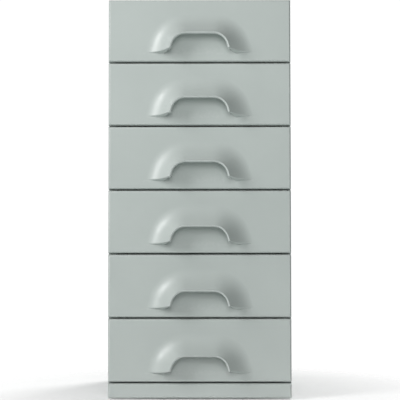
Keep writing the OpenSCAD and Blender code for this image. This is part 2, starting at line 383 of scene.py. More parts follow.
def screw_places():
    """Middles of the screw heads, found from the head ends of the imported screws."""
    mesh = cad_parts["back_screws"].data
    rear = max(vert.co.y for vert in mesh.vertices)
    found = []
    for vert in mesh.vertices:
        if vert.co.y < rear - FLAT_LIMIT:
            continue
        near = [group for group in found if (group[0] - vert.co).length < HEAD_REACH]
        if near:
            near[0].append(vert.co.copy())
        else:
            found.append([vert.co.copy()])
    return [(Vector(map(min, *group)) + Vector(map(max, *group))) / 2 for group in found]


back_screw_places = screw_places()
back = bmesh.new()
rear_y = back_high.y
rings = [board_ring(back, back_low, back_high, BOARD_EDGE, rear_y),
         board_ring(back, back_low, back_high, 0, rear_y - BOARD_EDGE),
         board_ring(back, back_low, back_high, 0, back_low.y)]
for first, second in zip(rings, rings[1:]):
    join_rings(back, first, second)
back_holes = []
front_holes = []
for place in back_screw_places:
    levels = ((HEAD_SPACE, rear_y), (SHANK_SPACE, rear_y - HEAD_SPACE + SHANK_SPACE),
              (SHANK_SPACE, back_low.y))
    circles = [[back.verts.new((place.x + radius * math.cos(math.tau * i / HOLE_SIDES), y,
                                place.z + radius * math.sin(math.tau * i / HOLE_SIDES)))
                for i in range(HOLE_SIDES)] for radius, y in levels]
    for first, second in zip(circles, circles[1:]):
        join_rings(back, first, second)
    back_holes.append(circles[0])
    front_holes.append(circles[-1])
flat_faces(back, [rings[0]] + back_holes)
flat_faces(back, [rings[-1]] + front_holes)
bmesh.ops.recalc_face_normals(back, faces=back.faces[:])
add_piece("back_board", back, back_lacquer, "carcase", ["back_panel"])


# ---- Back screws ----
# Zinc-plated countersunk chipboard screws with a cross recess, driven flush into the back
# panel. One screw is cut and set at every hole.

SCREW_HEAD = 0.0030
SCREW_SHANK = 0.0015
SCREW_LENGTH = 0.020
SCREW_TWIST = 0.9
ZINC_CLOUDED = (0.56, 0.58, 0.60, 1.0)
ZINC_BRIGHT = (0.66, 0.67, 0.67, 1.0)
ZINC_DULL = (0.42, 0.43, 0.44, 1.0)
RECESS = {"Recess width": 0.0009, "Recess span": 0.0034, "Recess depth": 0.0008}


def zinc(name, brushed_along):
    """Bright zinc plate: drawn lines along the strip, clouded passivation, duller edges."""
    material, tree, shader = new_material(name)
    place = object_place(tree)
    stretch = tuple(0.02 if along else 1.0 for along in brushed_along)
    lines = noise(tree, place, 1500.0, 3.0, stretch)
    cloud = ranged(tree, noise(tree, place, 55.0, 4.0), 0.35, 0.65)
    plate = mixed(tree, cloud, ZINC_CLOUDED, ZINC_BRIGHT)
    dull = product(tree, attribute(tree, "edge"), 0.35)
    gloss = total(tree, ranged(tree, lines, 0.3, 0.7, 0.22, 0.36), product(tree, cloud, 0.08))
    set_finish(tree, shader, mixed(tree, dull, plate, ZINC_DULL), gloss)
    shader.inputs["Metallic"].default_value = 1.0
    bumped(tree, shader, lines, 0.00001)
    return material


def new_tree(name, **inputs):
    """Geometry tree with the named inputs of each kind, and a material as its last input."""
    tree = bpy.data.node_groups.new(name, "GeometryNodeTree")
    tree.interface.new_socket("Geometry", in_out="INPUT", socket_type="NodeSocketGeometry")
    for kind, labels in [*inputs.items(), ("Material", ["Material"])]:
        for label in labels:
            tree.interface.new_socket(label, in_out="INPUT", socket_type="NodeSocket" + kind)
    tree.interface.new_socket("Geometry", in_out="OUTPUT", socket_type="NodeSocketGeometry")
    return tree, add_node(tree, "NodeGroupInput").outputs


def close_tree(tree, given, geometry):
    """Ends a tree as every tree here ends: instances made real, shaded smooth, and painted."""
    real = add_node(tree, "GeometryNodeRealizeInstances", {"Geometry": geometry})
    smooth = add_node(tree, "GeometryNodeSetShadeSmooth", {"Geometry": real.outputs[0]})
    painted = add_node(tree, "GeometryNodeSetMaterial", {
        "Geometry": smooth.outputs[0], "Material": given["Material"]})
    add_node(tree, "NodeGroupOutput", {0: painted.outputs[0]})
    return tree


def read_attribute(tree, label, kind="FLOAT_VECTOR"):
    node = add_node(tree, "GeometryNodeInputNamedAttribute", {"Name": label}, data_type=kind)
    return node.outputs["Attribute"]


def set_on_points(tree, given, instance, is_turned):
    """Ends a tree with the instance on every point, turned as the point's turn says."""
    inputs = {"Points": given["Geometry"], "Instance": instance}
    if is_turned:
        inputs["Rotation"] = read_attribute(tree, "turn")
    set_out = add_node(tree, "GeometryNodeInstanceOnPoints", inputs)
    return close_tree(tree, given, set_out.outputs[0])


def joined(tree, parts):
    whole = add_node(tree, "GeometryNodeJoinGeometry")
    for part in parts:
        tree.links.new(part, whole.inputs[0])
    return whole.outputs[0]


def raised(tree, geometry, rise):
    node = add_node(tree, "GeometryNodeTransform", {
        "Geometry": geometry, "Translation": vector_of(tree, z=rise)})
    return node.outputs[0]


def grown(name, tree, points, values, edges=(), attributes=None):
    """The plain mesh that a tree makes of a few points, with its inputs set by identifier."""
    seed = bpy.data.meshes.new(name)
    seed.from_pydata([tuple(point) for point in points], edges, [])
    for label, rows in (attributes or {}).items():
        kind = "FLOAT" if isinstance(rows[0], float) else "FLOAT_VECTOR"
        layer = seed.attributes.new(label, kind, "POINT")
        for i, row in enumerate(rows):
            if kind == "FLOAT":
                layer.data[i].value = row
            else:
                layer.data[i].vector = row
    holder = in_scene(name + "_seed", seed)
    modifier = holder.modifiers.new(tree.name, "NODES")
    modifier.node_group = tree
    sockets = {item.name: item.identifier for item in tree.interface.items_tree
               if item.in_out == "INPUT"}
    for label, value in values.items():
        modifier[sockets[label]] = value
    return plain_mesh(holder, name)


def vector_of(tree, x=0.0, y=0.0, z=0.0):
    return add_node(tree, "ShaderNodeCombineXYZ", {"X": x, "Y": y, "Z": z}).outputs[0]


def screw_tree(name, is_countersunk):
    """Screw with its head's face at each point, and a cross recess cut into the head."""
    tree, given = new_tree(name, Float=(
        "Head radius", "Head height", "Shank radius", "Length", "Recess width", "Recess span",
        "Recess depth"))
    foot_radius = given["Shank radius"] if is_countersunk else given["Head radius"]
    head = add_node(tree, "GeometryNodeMeshCone", {
        "Vertices": 24, "Side Segments": 2, "Radius Top": given["Head radius"],
        "Radius Bottom": foot_radius, "Depth": given["Head height"]})
    head_down = raised(tree, head.outputs["Mesh"], product(tree, given["Head height"], -1.0))
    bar = add_node(tree, "GeometryNodeMeshCube", {
        "Size": vector_of(tree, given["Recess span"], given["Recess width"],
                          product(tree, given["Recess depth"], 2.0))})
    cross_bar = add_node(tree, "GeometryNodeTransform", {
        "Geometry": bar.outputs["Mesh"], "Rotation": (0.0, 0.0, math.pi / 2)})
    cross = add_node(tree, "GeometryNodeMeshBoolean", operation="UNION", solver="MANIFOLD")
    tree.links.new(bar.outputs["Mesh"], cross.inputs[1])
    tree.links.new(cross_bar.outputs[0], cross.inputs[1])
    cut = add_node(tree, "GeometryNodeMeshBoolean", {0: head_down, 1: cross.outputs[0]},
                   operation="DIFFERENCE", solver="MANIFOLD")
    shank = add_node(tree, "GeometryNodeMeshCylinder", {
        "Vertices": 12, "Radius": given["Shank radius"], "Depth": given["Length"]})
    drop = math_of(tree, "SUBTRACT", product(tree, given["Length"], -0.5),
                   product(tree, given["Head height"], 0.5))
    shank_down = raised(tree, shank.outputs["Mesh"], drop)
    return set_on_points(tree, given, joined(tree, (cut.outputs[0], shank_down)), True)


def add_grown_piece(name, mesh, body, replaced, smooth_angle=35):
    """A grown mesh as a piece, with its edges marked and its sharp edges kept sharp."""
    bm = bmesh.new()
    bm.from_mesh(mesh)
    bmesh.ops.recalc_face_normals(bm, faces=bm.faces[:])
    mark_edges(bm)
    for edge in bm.edges:
        edge.smooth = abs(edge.calc_face_angle(0.0)) < math.radians(smooth_angle)
    bm.to_mesh(mesh)
    bm.free()
    if "turn" in mesh.attributes:
        mesh.attributes.remove(mesh.attributes["turn"])
    hand_over(mesh, name, body, replaced)


screw_zinc = zinc("screw_zinc", (False, False, False))
places = [place - Vector((0, HEAD_SINK, 0)) for place in back_screw_places]
turns = [(-math.pi / 2, SCREW_TWIST * i, 0.0) for i in range(len(places))]
screws = grown("rear_screws", screw_tree("countersunk screw", True), places, {
    "Head radius": SCREW_HEAD, "Head height": SCREW_HEAD - SCREW_SHANK,
    "Shank radius": SCREW_SHANK, "Length": SCREW_LENGTH, "Material": screw_zinc} | RECESS,
    attributes={"turn": turns})
add_grown_piece("rear_screws", screws, "carcase", ["back_screws"])


# ---- Floor glides ----
# Black nylon pads, each pressed by its peg into the lower end of a side panel.

GLIDE_CHAMFER = 0.0007
PEG_RADIUS = 0.0025
NYLON_BLACK = (0.022, 0.022, 0.024, 1.0)
NYLON_SCUFFED = (0.050, 0.050, 0.052, 1.0)

nylon, tree, shader = new_material("glide_nylon")
place = object_place(tree)
grain = noise(tree, place, 1800.0, 3.0)
scuff = ranged(tree, noise(tree, place, 240.0, 4.0), 0.45, 0.7)
set_finish(tree, shader, mixed(tree, scuff, NYLON_BLACK, NYLON_SCUFFED),
           ranged(tree, grain, 0.3, 0.7, 0.42, 0.62))
bumped(tree, shader, grain, 0.00006)


def glide_tree(name):
    """Glide under each point: a chamfered disc, and the peg that holds it."""
    tree, given = new_tree(name, Float=(
        "Radius", "Height", "Chamfer", "Peg radius", "Peg length"))
    foot_radius = math_of(tree, "SUBTRACT", given["Radius"], given["Chamfer"])
    foot = add_node(tree, "GeometryNodeMeshCone", {
        "Vertices": 48, "Radius Bottom": foot_radius, "Radius Top": given["Radius"],
        "Depth": given["Chamfer"]})
    disc_height = math_of(tree, "SUBTRACT", given["Height"], given["Chamfer"])
    disc = add_node(tree, "GeometryNodeMeshCylinder", {
        "Vertices": 48, "Radius": given["Radius"], "Depth": disc_height})
    disc_up = raised(tree, disc.outputs["Mesh"], total(
        tree, given["Chamfer"], product(tree, disc_height, 0.5)))
    peg = add_node(tree, "GeometryNodeMeshCylinder", {
        "Vertices": 16, "Radius": given["Peg radius"], "Depth": given["Peg length"]})
    peg_up = raised(tree, peg.outputs["Mesh"], total(
        tree, given["Height"], product(tree, given["Peg length"], 0.5)))
    whole = joined(tree, (foot.outputs["Mesh"], disc_up, peg_up))
    return set_on_points(tree, given, whole, False)


low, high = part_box("floor_glides")
side_low, side_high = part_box("side_panel_right")
glide_radius = high.x - (side_low.x + side_high.x) / 2
glide_places = [(x, y, 0) for x in (low.x + glide_radius, high.x - glide_radius)
                for y in (low.y + glide_radius, high.y - glide_radius)]
glides = grown("glides", glide_tree("glide"), glide_places, {
    "Radius": glide_radius, "Height": side_low.z, "Chamfer": GLIDE_CHAMFER,
    "Peg radius": PEG_RADIUS, "Peg length": high.z - side_low.z, "Material": nylon})
add_grown_piece("glides", glides, "carcase", ["floor_glides"])


# ---- Front bumpers ----
# Soft clear domes stuck to the carcase's front edges. They stop the drawers a hair short
# of the wood and quieten them.

BUMPER_RADIUS = 0.004
BUMPER_RINGS = 16
BUMPER_CLEAR = (0.74, 0.76, 0.75, 1.0)
BUMPER_HAZE = (0.62, 0.64, 0.62, 1.0)

clear, tree, shader = new_material("bumper_polyurethane")
haze = ranged(tree, noise(tree, object_place(tree), 420.0, 3.0), 0.35, 0.65)
set_finish(tree, shader, mixed(tree, haze, BUMPER_CLEAR, BUMPER_HAZE),
           ranged(tree, haze, 0.0, 1.0, 0.18, 0.34))
bumped(tree, shader, haze, 0.00002)
shader.inputs["Transmission Weight"].default_value = 0.35
shader.inputs["Coat Weight"].default_value = 0.3


def dome_tree(name):
    """Low dome on each point, facing as the point's turn says."""
    tree, given = new_tree(name, Float=("Radius", "Height"))
    ball = add_node(tree, "GeometryNodeMeshUVSphere", {
        "Segments": 24, "Rings": BUMPER_RINGS, "Radius": given["Radius"]})
    place = add_node(tree, "GeometryNodeInputPosition").outputs[0]
    at = add_node(tree, "ShaderNodeSeparateXYZ", {0: place}).outputs
    share = math_of(tree, "DIVIDE", given["Height"], given["Radius"])
    lifted = product(tree, math_of(tree, "MAXIMUM", at["Z"], 0.0), share)
    flat = add_node(tree, "GeometryNodeSetPosition", {
        "Geometry": ball.outputs["Mesh"], "Position": vector_of(tree, at["X"], at["Y"], lifted)})
    return set_on_points(tree, given, flat.outputs[0], True)


low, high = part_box("front_bumpers")
bumper_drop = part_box("front_1")[1].z - (high.z - BUMPER_RADIUS)
bumper_places = [(x, high.y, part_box(f"front_{n}")[1].z - bumper_drop)
                 for x in (low.x + BUMPER_RADIUS, high.x - BUMPER_RADIUS) for n in drawer_numbers]
bumpers = grown("bumpers", dome_tree("bumper dome"), bumper_places, {
    "Radius": BUMPER_RADIUS, "Height": high.y - low.y, "Material": clear},
    attributes={"turn": [(math.pi / 2, 0.0, 0.0)] * len(bumper_places)})
add_grown_piece("bumpers", bumpers, "carcase", ["front_bumpers"])


# ---- Slides ----
# Three-member ball-bearing slides of rolled, zinc-plated strip: one member screwed to the
# side panel, one on the drawer box, and one between them that runs on two rows of balls.

STRIP_EDGE = 0.00035
SLIDE_WALL = 0.0012
SLIDE_HEIGHT = 0.035
SLOT_LENGTH = 0.022
SLOT_HEIGHT = 0.0062
SLOT_SHARES = (0.12, 0.5, 0.88)
BALL_RADIUS = 0.00115
BALL_PITCH = 0.0085
BALLS_IN_ROW = 11
BALL_SET_IN = 0.0028
BALL_RACE = 0.0012
FRONT_ROW_START = 0.008
REAR_ROW_START = 0.100
PAN_RADIUS = 0.0033
PAN_HEIGHT = 0.0014
PAN_SCREW_LENGTH = 0.009
PAN_TWIST = 0.7
SCREWS_BEHIND_SLOTS = ((0, 0.0), (0, 0.09), (1, 0.03), (2, 0.02))
BALL_GREY = (0.60, 0.60, 0.61, 1.0)
BALL_BRIGHT = (0.72, 0.72, 0.72, 1.0)

slide_zinc = zinc("slide_zinc", (False, True, False))


def slide_member(low, high, web_is_low, slot_middles):
    """Channel of rolled strip along the depth, with oblong slots punched in its web."""
    web = (low.x, low.x + SLIDE_WALL) if web_is_low else (high.x - SLIDE_WALL, high.x)
    middle = (low.z + high.z) / 2
    ys = [low.y, high.y]
    for y in slot_middles:
        ys += [y - SLOT_LENGTH / 2, y + SLOT_LENGTH / 2]
    zs = (low.z, low.z + SLIDE_WALL, middle - SLOT_HEIGHT / 2, middle + SLOT_HEIGHT / 2,
          high.z - SLIDE_WALL, high.z)

    def is_open(x, y, z):
        if web[0] < x < web[1]:
            in_slot = any(abs(y - at) < SLOT_LENGTH / 2 for at in slot_middles)
            return in_slot and abs(z - middle) < SLOT_HEIGHT / 2
        return low.z + SLIDE_WALL < z < high.z - SLIDE_WALL

    xs = sorted({low.x, high.x, web[0], web[1]})
    return carved_block(xs, sorted(ys), zs, is_open, STRIP_EDGE)


def merged(parts):
    """One mesh of several, which are thrown away."""
    whole = bmesh.new()
    for part in parts:
        carrier = bpy.data.meshes.new("part")
        part.to_mesh(carrier)
        part.free()
        whole.from_mesh(carrier)
        bpy.data.meshes.remove(carrier)
    return whole


def halves(low, high, depth):
    """The boxes of the left and the right member of a pair, depth wide from their outsides."""
    return ((low, Vector((low.x + depth, high.y, high.z)), -1),
            (Vector((high.x - depth, low.y, low.z)), high, 1))


cabinet_low, cabinet_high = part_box("cabinet_slides")
inner_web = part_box("box_side_right_1")[1].x
channel_mouth = inner_web + SLIDE_WALL
slide_length = cabinet_high.y - cabinet_low.y
slot_ys = [cabinet_low.y + slide_length * share for share in SLOT_SHARES]
screw_ys = [slot_ys[slot] + behind for slot, behind in SCREWS_BEHIND_SLOTS]
parts = []
for n in drawer_numbers:
    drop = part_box("slide_middle_1")[0].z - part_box(f"slide_middle_{n}")[0].z
    low = Vector((cabinet_low.x, cabinet_low.y, cabinet_high.z - SLIDE_HEIGHT - drop))
    high = Vector((cabinet_high.x, cabinet_high.y, cabinet_high.z - drop))
    for member_low, member_high, way in halves(low, high, cabinet_high.x - channel_mouth):
        parts.append(slide_member(member_low, member_high, way < 0, slot_ys))
add_piece("cabinet_slide_channels", merged(parts), slide_zinc, "carcase", ["cabinet_slides"])


def ball_tree(name):
    """Steel ball on every point."""
    tree, given = new_tree(name, Float=("Radius",))
    ball = add_node(tree, "GeometryNodeMeshUVSphere", {
        "Segments": 8, "Rings": 6, "Radius": given["Radius"]})
    return set_on_points(tree, given, ball.outputs["Mesh"], False)


ball_nodes = ball_tree("bearing balls")
pan_screw_nodes = screw_tree("pan-head screw", False)
ball_steel, tree, shader = new_material("ball_steel")
wear = noise(tree, object_place(tree), 2500.0, 2.0)
set_finish(tree, shader, mixed(tree, wear, BALL_GREY, BALL_BRIGHT),
           ranged(tree, wear, 0.3, 0.7, 0.10, 0.20))
shader.inputs["Metallic"].default_value = 1.0

for n in drawer_numbers:
    middle_low, middle_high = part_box(f"slide_middle_{n}")
    inner_low, inner_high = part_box(f"slide_inner_{n}")
    parts = [slide_member(low, high, way < 0, slot_ys[:1]) for low, high, way in halves(
        middle_low, middle_high, middle_high.x - channel_mouth)]
    add_piece(f"middle_slide_channels_{n}", merged(parts), slide_zinc, f"middle_slides_{n}",
              [f"slide_middle_{n}"])

    parts = [slide_member(low, high, way > 0, slot_ys[1:]) for low, high, way in halves(
        inner_low, inner_high, inner_high.x - inner_web)]
    add_piece(f"drawer_slide_channels_{n}", merged(parts), slide_zinc, f"drawer_{n}",
              [f"slide_inner_{n}"])

    centre_z = (middle_low.z + middle_high.z) / 2
    ball_x = channel_mouth + BALL_SET_IN
    outer_reach = middle_high.z - centre_z + BALL_RACE
    inner_reach = inner_high.z - centre_z + BALL_RACE
    rows = ((middle_high.y - REAR_ROW_START, outer_reach),
            (middle_low.y + FRONT_ROW_START, inner_reach))
    balls = [(way * ball_x, start + i * BALL_PITCH, centre_z + up * reach)
             for way in (-1, 1) for start, reach in rows
             for i in range(BALLS_IN_ROW) for up in (-1, 1)]
    mesh = grown(f"slide_balls_{n}", ball_nodes, balls, {
        "Radius": BALL_RADIUS, "Material": ball_steel})
    add_grown_piece(f"slide_balls_{n}", mesh, f"middle_slides_{n}", [], 60)

    places = [(way * (channel_mouth + PAN_HEIGHT), y, centre_z) for way in (-1, 1)
              for y in screw_ys]
    turns = [(PAN_TWIST * i, way * math.pi / 2, 0.0)
             for way in (-1, 1) for i in range(len(screw_ys))]
    mesh = grown(f"slide_screws_{n}", pan_screw_nodes, places, {
        "Head radius": PAN_RADIUS, "Head height": PAN_HEIGHT, "Shank radius": SCREW_SHANK,
        "Length": PAN_SCREW_LENGTH, "Material": screw_zinc} | RECESS, attributes={"turn": turns})
    add_grown_piece(f"slide_screws_{n}", mesh, f"drawer_{n}", [])


# ---- Drawer boxes ----
# Sides and back of 12 mm birch plywood and a 6 mm bottom held in grooves, all clear-sealed.
# The veneers' grain runs along each board, and its narrow edges show the plies.

PLY_EDGE = 0.0005
BOTTOM_EDGE = 0.0002
GROOVE_SPACE = 0.0002
PLY_THICKNESS = 0.0014
BIRCH = (0.70, 0.545, 0.355, 1.0)
BIRCH_FIGURE = (0.585, 0.430, 0.262, 1.0)
BIRCH_PALE = (0.735, 0.600, 0.420, 1.0)
PLY_ALONG = (0.66, 0.50, 0.31, 1.0)
PLY_CROSSWISE = (0.40, 0.275, 0.155, 1.0)
PLY_PORES = (0.30, 0.20, 0.11, 1.0)
PLY_GLUE = (0.16, 0.10, 0.06, 1.0)

birch, tree, shader = new_material("birch_plywood")
grain_place = attribute(tree, "grain", "Vector")
split = add_node(tree, "ShaderNodeSeparateXYZ", {0: grain_place})
figure = noise(tree, grain_place, 60.0, 5.0, (0.07, 1.0, 1.0))
fibre = noise(tree, grain_place, 900.0, 3.0, (0.03, 1.0, 1.0))
cloud = noise(tree, grain_place, 7.0, 2.0, (0.5, 1.0, 1.0))
face_tone = mixed(tree, ranged(tree, figure, 0.35, 0.68), BIRCH, BIRCH_FIGURE)
face_tone = mixed(tree, ranged(tree, cloud, 0.35, 0.7, 0.0, 0.6), face_tone, BIRCH_PALE)
ply = math_of(tree, "FRACT", math_of(tree, "DIVIDE", split.outputs["Z"], 2 * PLY_THICKNESS))
crosswise = math_of(tree, "GREATER_THAN", ply, 0.5)
end_grain = noise(tree, grain_place, 1100.0, 3.0, (1.0, 1.0, 0.35))
ply_tone = mixed(tree, crosswise, PLY_ALONG, PLY_CROSSWISE)
ply_tone = mixed(tree, ranged(tree, end_grain, 0.3, 0.7, 0.0, 0.45), ply_tone, PLY_PORES)
from_joint = math_of(tree, "ABSOLUTE", math_of(tree, "SUBTRACT", ply, 0.5))
glue_line = math_of(tree, "LESS_THAN", from_joint, 0.05)
ply_tone = mixed(tree, product(tree, glue_line, 0.6), ply_tone, PLY_GLUE)
on_edge = attribute(tree, "narrow")
set_finish(tree, shader, mixed(tree, on_edge, face_tone, ply_tone),
           ranged(tree, figure, 0.3, 0.7, 0.42, 0.56))
relief = total(tree, fibre, product(tree, product(tree, crosswise, on_edge), 1.6))
bumped(tree, shader, relief, 0.00005)


def plywood(name, bm, low, grain_axis, thin_axis, body, replaced):
    """Adds a plywood piece with the coordinates along, across and through its plies."""
    across_axis = 3 - grain_axis - thin_axis
    grain = bm.verts.layers.float_vector.new("grain")
    for vert in bm.verts:
        vert[grain] = (vert.co[grain_axis], vert.co[across_axis],
                       vert.co[thin_axis] - low[thin_axis])
    narrow = bm.faces.layers.float.new("narrow")
    for face in bm.faces:
        face.normal_update()
        face[narrow] = 1.0 if abs(face.normal[thin_axis]) < 0.6 else 0.0
    add_piece(name, bm, birch, body, replaced)


for n in drawer_numbers:
    bottom_low, bottom_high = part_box(f"box_bottom_{n}")
    groove_top = bottom_high.z + GROOVE_SPACE

    def is_side_groove(x, y, z):
        return abs(x) < bottom_high.x and bottom_low.z < z < groove_top

    for side in ("left", "right"):
        node = f"box_side_{side}_{n}"
        low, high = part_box(node)
        groove_x = bottom_low.x if side == "left" else bottom_high.x
        wall = carved_block(sorted((low.x, groove_x, high.x)), (low.y, high.y),
                            (low.z, bottom_low.z, groove_top, high.z), is_side_groove, PLY_EDGE)
        plywood(f"drawer_side_{side}_{n}", wall, low, 1, 0, f"drawer_{n}", [node])
    low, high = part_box(f"box_back_{n}")
    plywood(f"drawer_back_{n}", plain_block(low, high, PLY_EDGE), low, 0, 1, f"drawer_{n}",
            [f"box_back_{n}"])
    plywood(f"drawer_bottom_{n}", plain_block(bottom_low, bottom_high, BOTTOM_EDGE),
            bottom_low, 0, 2, f"drawer_{n}", [f"box_bottom_{n}"])


# ---- Drawer fronts with their hood pulls ----
# An 18 mm board with a hood glued to its face, faired in and lacquered with it, so that
# the face swells into the hood without a line. Fingers reach up under the hood's lip.

REACH = 0.035
PULL_RISE = 0.017
ARCH_WIDTH = 0.129
ARCH_HEIGHT = 0.040
CROWN_WIDTH = 0.060
ARCH_RADIUS = 0.0305
FLARE_SIDE = 0.053
FLARE_TOP = 0.049
LIP_ROUND = 0.0036
LIP_FACE = 0.0055
HOOK = 0.014
HOOD_THICKNESS = 0.006
FOOT_RISE = 0.009
FOOT_RISE_POWER = 1.5
FOOT_TILT = math.radians(4)
FOOT_ROUND = 0.0022
FOOT_STEPS = 6
LEG_STEPS = 16
ARC_STEPS = 36
CROWN_STEPS = 14
FLARE_STEPS = 40
WELD_REACH = 0.000004


def hood_stations():
    """Right half of the opening's edge from foot to crown. Each station holds its point, the
    section's direction, the edge's normal, the slide up the leg, the inset that rounds the
    foot, and how far the pocket is still closed."""
    corner = Vector((CROWN_WIDTH / 2, ARCH_HEIGHT - ARCH_RADIUS))
    foot = Vector((ARCH_WIDTH / 2, 0))
    leg_normal = (math.atan2(corner.y - foot.y, corner.x - foot.x)
                  - math.asin(ARCH_RADIUS / (corner - foot).length) - math.pi / 2)
    leg_top = corner + ARCH_RADIUS * Vector((math.cos(leg_normal), math.sin(leg_normal)))
    leg_length = (leg_top - foot).length
    shares = []
    for i in range(FOOT_STEPS):
        turn = math.pi / 2 * (1 - i / FOOT_STEPS)
        shares.append((FOOT_ROUND * (1 - math.sin(turn)) / leg_length,
                       FOOT_ROUND * (1 - math.cos(turn))))
    start = FOOT_ROUND / leg_length
    shares += [(start + (1 - start) * i / LEG_STEPS, 0.0) for i in range(LEG_STEPS + 1)]
    stations = []
    for share, inset in shares:
        angle = FOOT_TILT + share * (leg_normal - FOOT_TILT)
        rise = FOOT_RISE * (1 - share) ** FOOT_RISE_POWER
        slide = rise * Vector((-math.tan(leg_normal), 1))
        closed = 1 - share * share * (3 - 2 * share)
        stations.append((foot + share * (leg_top - foot), angle, leg_normal, slide, inset,
                         closed))
    for i in range(1, ARC_STEPS + 1):
        angle = leg_normal + (math.pi / 2 - leg_normal) * i / ARC_STEPS
        point = corner + ARCH_RADIUS * Vector((math.cos(angle), math.sin(angle)))
        stations.append((point, angle, angle, Vector((0, 0)), 0.0, 0.0))
    for i in range(1, CROWN_STEPS + 1):
        point = Vector((CROWN_WIDTH / 2 * (1 - i / CROWN_STEPS), ARCH_HEIGHT))
        stations.append((point, math.pi / 2, math.pi / 2, Vector((0, 0)), 0.0, 0.0))
    return stations


def hood_tree(name):
    """Sweeps the hood's section along the opening's edge and sets every point of it out
    from the edge by its distance, forward by its height, and up the leg by the slide."""
    tree, given = new_tree(
        name, Float=("Reach", "Lip round", "Foot round", "Weld"), Int=("Flare steps",),
        Vector=("Flare end", "Flare bend", "Lip top", "Lip centre", "Lip inside", "Lip back",
                "Pocket edge", "Pocket base", "Pocket closing", "Border"))

    def line(first, second, steps):
        made = add_node(tree, "GeometryNodeCurvePrimitiveLine", {
            "Start": given[first], "End": given[second]})
        cut = add_node(tree, "GeometryNodeResampleCurve", {
            "Curve": made.outputs[0], "Count": steps + 1})
        return cut.outputs[0]

    def pocket_line(first, second, steps, towards_edge):
        """A line of the pocket, whose points know how near they lie to the pocket's edge."""
        along = add_node(tree, "GeometryNodeSplineParameter").outputs["Factor"]
        nearness = along if towards_edge else math_of(tree, "SUBTRACT", 1.0, along)
        store = add_node(tree, "GeometryNodeStoreNamedAttribute", {
            "Geometry": line(first, second, steps), "Name": "nearness", "Value": nearness},
            data_type="FLOAT")
        return store.outputs[0]

    flare = add_node(tree, "GeometryNodeCurveQuadraticBezier", {
        "Resolution": given["Flare steps"], "Start": given["Flare end"],
        "Middle": given["Flare bend"], "End": given["Lip top"]})
    arc = add_node(tree, "GeometryNodeCurveArc", {
        "Resolution": 9, "Radius": given["Lip round"], "Start Angle": math.pi / 2,
        "Sweep Angle": math.pi / 2})
    lip = add_node(tree, "GeometryNodeTransform", {
        "Geometry": arc.outputs["Curve"], "Translation": given["Lip centre"]})
    section = joined(tree, (
        line("Border", "Flare end", 1), flare.outputs[0], lip.outputs[0],
        line("Lip inside", "Lip back", 3), pocket_line("Lip back", "Pocket edge", 4, True),
        pocket_line("Pocket edge", "Pocket base", 3, False)))
    place = add_node(tree, "GeometryNodeInputPosition").outputs[0]
    heading = add_node(tree, "GeometryNodeInputTangent").outputs[0]
    for label, value in (("section", place), ("heading", heading)):
        store = add_node(tree, "GeometryNodeStoreNamedAttribute", {
            "Geometry": section, "Name": label, "Value": value}, data_type="FLOAT_VECTOR")
        section = store.outputs[0]
    rail = add_node(tree, "GeometryNodeMeshToCurve", {"Mesh": given["Geometry"]})
    swept = add_node(tree, "GeometryNodeCurveToMesh", {
        "Curve": rail.outputs[0], "Profile Curve": section})

    def read(label):
        return read_attribute(tree, label)

    def read_number(label):
        return read_attribute(tree, label, "FLOAT")

    def scaled(vector, amount):
        node = add_node(tree, "ShaderNodeVectorMath", {0: vector, "Scale": amount},
                        operation="SCALE")
        return node.outputs["Vector"]

    def summed(first, second):
        node = add_node(tree, "ShaderNodeVectorMath", {0: first, 1: second}, operation="ADD")
        return node.outputs["Vector"]

    shut = product(tree, read_number("closed"), read_number("nearness"))
    at = add_node(tree, "ShaderNodeSeparateXYZ", {
        0: summed(read("section"), scaled(given["Pocket closing"], shut))}).outputs
    going = add_node(tree, "ShaderNodeSeparateXYZ", {0: read("heading")}).outputs
    share = math_of(tree, "DIVIDE", at["Y"], total(tree, at["Y"], given["Foot round"]))
    inset = product(tree, read_number("inset"), share)
    out = math_of(tree, "SUBTRACT", at["X"], product(tree, inset, going["Y"]))
    height = total(tree, at["Y"], product(tree, inset, going["X"]))
    past_lip = math_of(tree, "SUBTRACT", out, given["Lip round"])
    past_lip = math_of(tree, "MAXIMUM", past_lip, 0.0)
    out = total(tree, out, product(tree, past_lip, read_number("spread")))
    slid = scaled(read("slide"), math_of(tree, "DIVIDE", height, given["Reach"]))
    forward = vector_of(tree, y=product(tree, height, -1.0))
    position = summed(summed(read("place"), scaled(read("outward"), out)), summed(slid, forward))
    placed = add_node(tree, "GeometryNodeSetPosition", {
        "Geometry": swept.outputs[0], "Position": position})
    welded = add_node(tree, "GeometryNodeMergeByDistance", {
        "Geometry": placed.outputs[0], "Distance": given["Weld"]})
    return close_tree(tree, given, welded.outputs[0])


